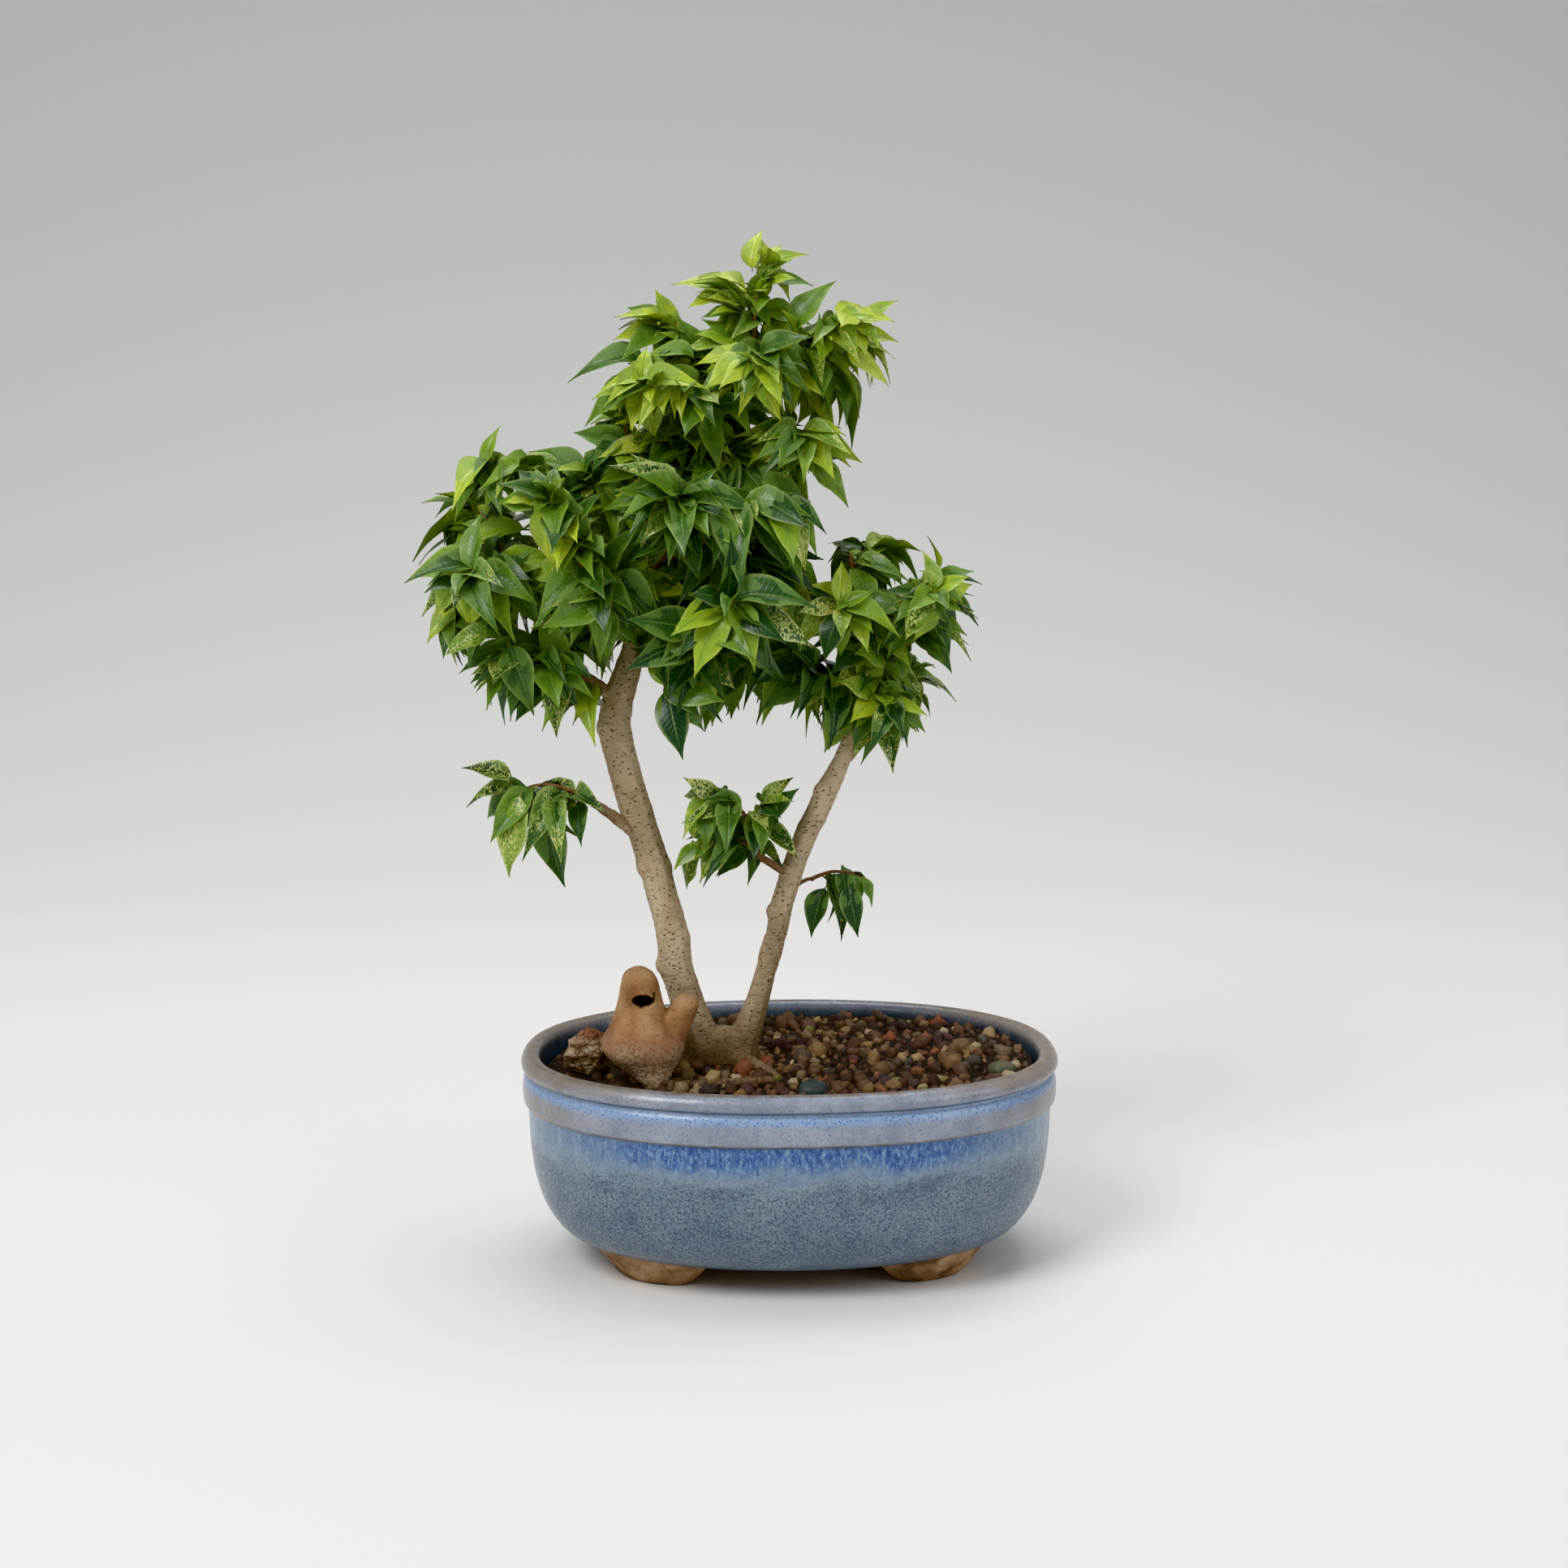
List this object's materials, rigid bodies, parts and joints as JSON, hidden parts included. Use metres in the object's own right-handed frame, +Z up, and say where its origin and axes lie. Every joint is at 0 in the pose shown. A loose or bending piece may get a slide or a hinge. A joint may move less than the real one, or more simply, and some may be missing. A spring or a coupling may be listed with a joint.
{
  "type": "potted bonsai tree",
  "caption": "Small-leaved fig bonsai with two trunks rising from one base, in an oval blue-glazed stoneware pot on stub feet, with gravel, a clay bird whistle and a chip of rock.",
  "frame": {"origin": "middle of the object's outline in x and y, on the plane the feet stand on", "axes": "+Z up, +X to the right seen from the front, +Y towards the back; the pot's long axis lies along X"},
  "size_m": [0.2834, 0.1778, 0.4505],
  "materials": {
    "glazed_stoneware": "speckled blue glaze over stoneware",
    "bare_clay": "unglazed tan stoneware, scuffed where it rests",
    "potting_soil": "loose dark potting soil",
    "gravel": "small mixed brown gravel",
    "bark": "smooth pale bark with dark specks",
    "leaves": "glossy green leaves, some speckled with cream",
    "terracotta": "unglazed orange-tan clay with a pale crust",
    "rock": "rough broken stone",
    "dark_pebble": "smooth dark grey pebble",
    "olive_pebble": "smooth olive grey pebble",
    "screen_plastic": "black plastic mesh"
  },
  "bodies": {
    "root": {"pot": "glazed_stoneware", "foot_front_left": "bare_clay", "foot_front_right": "bare_clay", "foot_back_right": "bare_clay", "foot_back_left": "bare_clay", "drain_screen_left": "screen_plastic", "drain_screen_right": "screen_plastic", "soil": "potting_soil", "gravel": "gravel", "trunks_and_roots": "bark", "bird_whistle": "terracotta", "rock_chip": "rock", "pebble_grey": "dark_pebble", "pebble_green": "olive_pebble", "spray_low_left_1": "leaves", "spray_low_left_2": "leaves", "spray_low_inner_1": "leaves", "spray_low_inner_2": "leaves", "spray_low_inner_3": "leaves", "spray_low_inner_4": "leaves", "spray_low_outer_1": "leaves", "spray_left_1": "leaves", "spray_left_2": "leaves", "spray_left_3": "leaves", "spray_left_4": "leaves", "spray_left_5": "leaves", "spray_left_6": "leaves", "spray_left_7": "leaves", "spray_left_8": "leaves", "spray_left_9": "leaves", "spray_left_10": "leaves", "spray_middle_1": "leaves", "spray_middle_2": "leaves", "spray_middle_3": "leaves", "spray_middle_4": "leaves", "spray_middle_5": "leaves", "spray_middle_6": "leaves", "spray_middle_7": "leaves", "spray_middle_8": "leaves", "spray_middle_9": "leaves", "spray_middle_10": "leaves", "spray_middle_11": "leaves", "spray_upper_1": "leaves", "spray_upper_2": "leaves", "spray_upper_3": "leaves", "spray_upper_4": "leaves", "spray_upper_5": "leaves", "spray_upper_6": "leaves", "spray_upper_7": "leaves", "spray_top_1": "leaves", "spray_top_2": "leaves", "spray_top_right_1": "leaves", "spray_top_right_2": "leaves", "spray_right_1": "leaves", "spray_right_2": "leaves", "spray_right_3": "leaves", "spray_right_4": "leaves", "spray_right_5": "leaves", "spray_right_6": "leaves", "spray_right_7": "leaves"}
  },
  "joints": []
}
